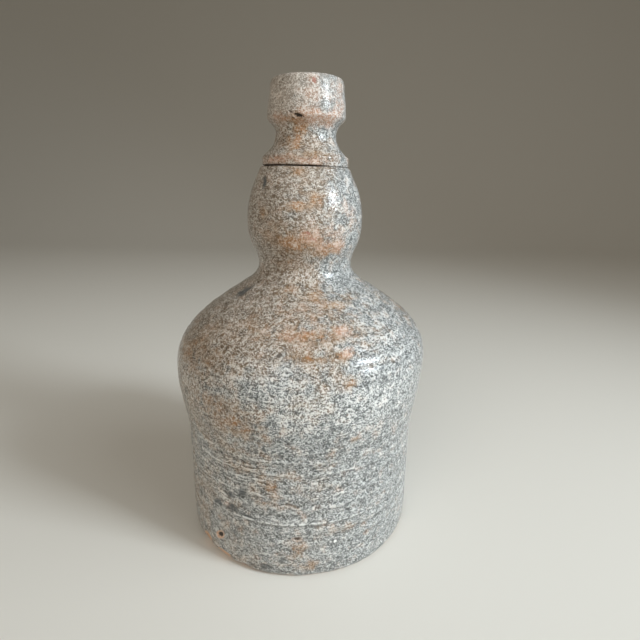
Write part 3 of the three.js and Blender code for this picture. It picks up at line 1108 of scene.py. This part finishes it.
def clay_foot():
    """The floor slab: a bare rounded edge, and arcs across the underside from the cutting wire."""
    rim = at_height(clay_face(3 * MM), FLOOR_HEIGHT - JOINT)
    inner = at_height(bore_face(4 * MM), FLOOR_HEIGHT + JOINT_RISE - JOINT)
    floor_edge = (inner[0] - 4 * MM, FLOOR_HEIGHT)
    edge = Knot(rim[0] - 1.8 * MM, 0, -90, after=1.2 * MM)
    side = Knot(rim[0], 1.9 * MM, before=1.2 * MM)
    line = chain(
        straight((0, 0), edge.point, 1.2 * MM),
        curve(edge, side, 0.4 * MM),
        straight(side.point, rim, 0.8 * MM),
        straight(rim, inner, 1.5 * MM),
        straight(inner, floor_edge, 1.5 * MM),
        straight(floor_edge, (0, FLOOR_HEIGHT), 4 * MM),
    )

    def shaping(azimuth, height, radius, points):
        under = (height < 0.01 * MM) & (radius < rim[0] - 2.2 * MM)
        sweep = np.hypot(points[..., 0] + 70 * MM, points[..., 1] - 20 * MM)
        cut = 0.10 * MM * (1 + np.sin(sweep / (0.62 * MM) + 2 * grain(points, 12 * MM, 21)))
        edge = 0.08 * MM * grain(points, 3 * MM, 22) * (height < 3 * MM) * (height > 0.2 * MM)
        return np.where(under, -cut, edge), 0

    # Darker round the foot's outer edge, next to the floor.
    def rim_dark(azimuth, height, radius, points):
        return smooth(58.5 * MM, 61 * MM, radius) * (0.8 + 0.4 * grain(points, 2 * MM, 23))

    def chip(azimuth, height, radius, points):
        return np.clip(chipping(azimuth) / 1.2, 0, 1) * smooth(59 * MM, 61 * MM, radius)

    return turned("clay_foot", line, FOOT_SEGMENTS, shaping, {"rim_dark": rim_dark, "chip": chip})


def slip_ring(name, height):
    """The slip squeezed into a bevelled joint, its outer edge uneven."""
    r_out = at_height(clay_face(3 * MM), height)[0]
    r_in = at_height(bore_face(4 * MM), height + JOINT_RISE)[0]
    half = np.array([0, SLIP / 2])
    outer, inner = np.array([r_out, height]), np.array([r_in, height + JOINT_RISE])
    line = chain(
        straight(outer - half, outer + half, 0.3 * MM),
        straight(outer + half, inner + half, 1.2 * MM),
        straight(inner + half, inner - half, 0.3 * MM),
        straight(inner - half, outer - half, 1.2 * MM)[:-1],
    )

    def shaping(azimuth, height, radius, points):
        return 0.12 * MM * grain(points, 2.2 * MM, 31) * (radius > r_out - 0.1 * MM), 0

    return turned(name, line, HIDDEN_SEGMENTS, shaping)


def inner_coat():
    """The lining coat: over the floor, up the inside and through the throat."""
    wall = between(bore_face(2.5 * MM), FLOOR_HEIGHT + JOINT_RISE, LINING_TOP)
    floor = straight((0, FLOOR_HEIGHT), (wall[0, 0] - 4 * MM, FLOOR_HEIGHT), 4 * MM)
    clay = np.vstack([floor, wall])
    back, front = inset(clay, GAP), inset(clay, GAP + LINING)
    for line in (back, front):
        line[0, 0] = 0
        line[-1, 1] = LINING_TOP
    outline = np.vstack([back, front[::-1]])
    inner = (np.arange(len(outline)) >= len(back))[:, None]

    def shaping(azimuth, height, radius, points):
        return 0.10 * MM * throwing_rings(azimuth, height, points) * inner, 0

    return turned("glaze_lining", outline, LINING_SEGMENTS, shaping)


def finish_piece(piece, node, material):
    """The piece with its material, riding on the root in place of its CAD node."""
    piece.data.materials.append(material)
    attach(piece, "root")
    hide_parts(node)


def build_pieces():
    """Every coat, section and ring of slip, each in place of one CAD node."""
    body_reds = [Blemish(5.5, 162.6, 1.2, 0.8, -20, 0), Blemish(11, 159.6, 1.6, 0.8, -25, 0)]
    collar_reds = [Blemish(12.5, 227.2, 0.9, 1.4, 10, 0)]
    body_glaze = curdled_glaze("curdled_glaze_body", BODY_BLEMISHES, body_reds)
    collar_glaze = curdled_glaze("curdled_glaze_collar", COLLAR_BLEMISHES, collar_reds)
    clay = bare_clay("stoneware_clay")
    slip = fired_slip("fired_slip")
    finish_piece(body_coat(), "body_glaze", body_glaze)
    finish_piece(collar_coat(), "collar_glaze", collar_glaze)
    finish_piece(inner_coat(), "inner_glaze", lining_glaze("lining_glaze"))
    finish_piece(clay_foot(), "foot_disc", clay)
    finish_piece(clay_mouth(), "mouth_collar", clay)
    sections = {
        "body_wall": ("clay_wall", FLOOR_HEIGHT, SHOULDER_HEIGHT),
        "shoulder_dome": ("clay_dome", SHOULDER_HEIGHT, CONSTRICTION_HEIGHT),
        "neck_bulb": ("clay_bulb", CONSTRICTION_HEIGHT, GROOVE),
    }
    for node, (name, bottom, top) in sections.items():
        finish_piece(clay_section(name, bottom, top), node, clay)
    joints = {
        "foot_luting_slip": FLOOR_HEIGHT,
        "shoulder_luting_slip": SHOULDER_HEIGHT,
        "neck_luting_slip": CONSTRICTION_HEIGHT,
        "collar_luting_slip": GROOVE,
    }
    for node, height in joints.items():
        finish_piece(slip_ring("ring_" + node, height), node, slip)


# ---------------- floor, light and camera


def stage_backdrop():
    """A pale floor that curves up into a wall well behind the bottle."""
    half_width, front, bend, back = 5.0, -4.0, 1.1, 2.3
    turn = np.linspace(0, math.pi / 2, 25)
    rise = back - bend
    profile = [(front, 0.0), (bend, 0.0)]
    profile += [(bend + rise * math.sin(a), rise * (1 - math.cos(a))) for a in turn[1:]]
    profile.append((back, 4.0))
    points = [(x, y, z) for y, z in profile for x in (-half_width, half_width)]
    faces = [[2 * i, 2 * i + 1, 2 * i + 3, 2 * i + 2] for i in range(len(profile) - 1)]
    backdrop = mesh_object("studio_floor", np.array(points), faces, {})
    s = Shader("pale_floor")
    s.surface["Base Color"].default_value = (0.72, 0.69, 0.63, 1)
    s.surface["Roughness"].default_value = 0.65
    backdrop.data.materials.append(s.material)


LIGHT_SPREAD = math.radians(80)


def area_light(name, azimuth, elevation, distance, size, power, colour):
    """A rectangular light that faces the middle of the bottle."""
    a, e = math.radians(azimuth), math.radians(elevation)
    towards = Vector((math.sin(a) * math.cos(e), -math.cos(a) * math.cos(e), math.sin(e)))
    data = bpy.data.lights.new(name, "AREA")
    data.shape = "RECTANGLE"
    data.size, data.size_y = size
    data.spread = LIGHT_SPREAD
    data.energy = power
    data.color = colour
    lamp = bpy.data.objects.new(name, data)
    bpy.context.scene.collection.objects.link(lamp)
    lamp.location = Vector((0, 0, LIP_HEIGHT / 2)) + towards * distance
    lamp.rotation_mode = "QUATERNION"
    lamp.rotation_quaternion = towards.to_track_quat("Z", "Y")
    return lamp


def studio_lights():
    """A window that shows as the highlight, soft light from its side, and warmer light from the
    room. The soft light from the side is hidden from reflections, to keep the highlight small."""
    area_light("window", 65, 27, 1.1, (0.28, 0.28), 2.0, (0.84, 0.93, 1.0))
    bay = area_light("bay", 68, 30, 1.3, (1.2, 1.2), 2.55, (0.86, 0.94, 0.99))
    bay.visible_glossy = False
    area_light("room", -16, 32, 1.6, (1.6, 1.2), 2.8, (1.0, 0.95, 0.88))


def world_light():
    """A faint warm light from all round."""
    world = bpy.data.worlds.new("studio")
    world.use_nodes = True
    background = world.node_tree.nodes["Background"]
    background.inputs["Color"].default_value = (0.85, 0.80, 0.70, 1)
    background.inputs["Strength"].default_value = 0.24
    bpy.context.scene.world = world


def photographer():
    """A wide lens close to the bottle, level with the groove and tipped down at the body."""
    data = bpy.data.cameras.new("camera")
    data.sensor_width = 36
    data.lens = 25
    data.clip_start = 0.01
    camera = bpy.data.objects.new("camera", data)
    bpy.context.scene.collection.objects.link(camera)
    place = Matrix.Translation((13.9 * MM, -233.1 * MM, 183.2 * MM))
    turn = Matrix.Rotation(math.radians(0.8), 4, "Z")
    tip = Matrix.Rotation(math.radians(90 - 16.8), 4, "X")
    roll = Matrix.Rotation(math.radians(0.72), 4, "Z")
    camera.matrix_world = place @ turn @ tip @ roll
    bpy.context.scene.camera = camera


build_pieces()
stage_backdrop()
studio_lights()
world_light()
photographer()
bpy.context.scene.view_settings.view_transform = "Standard"
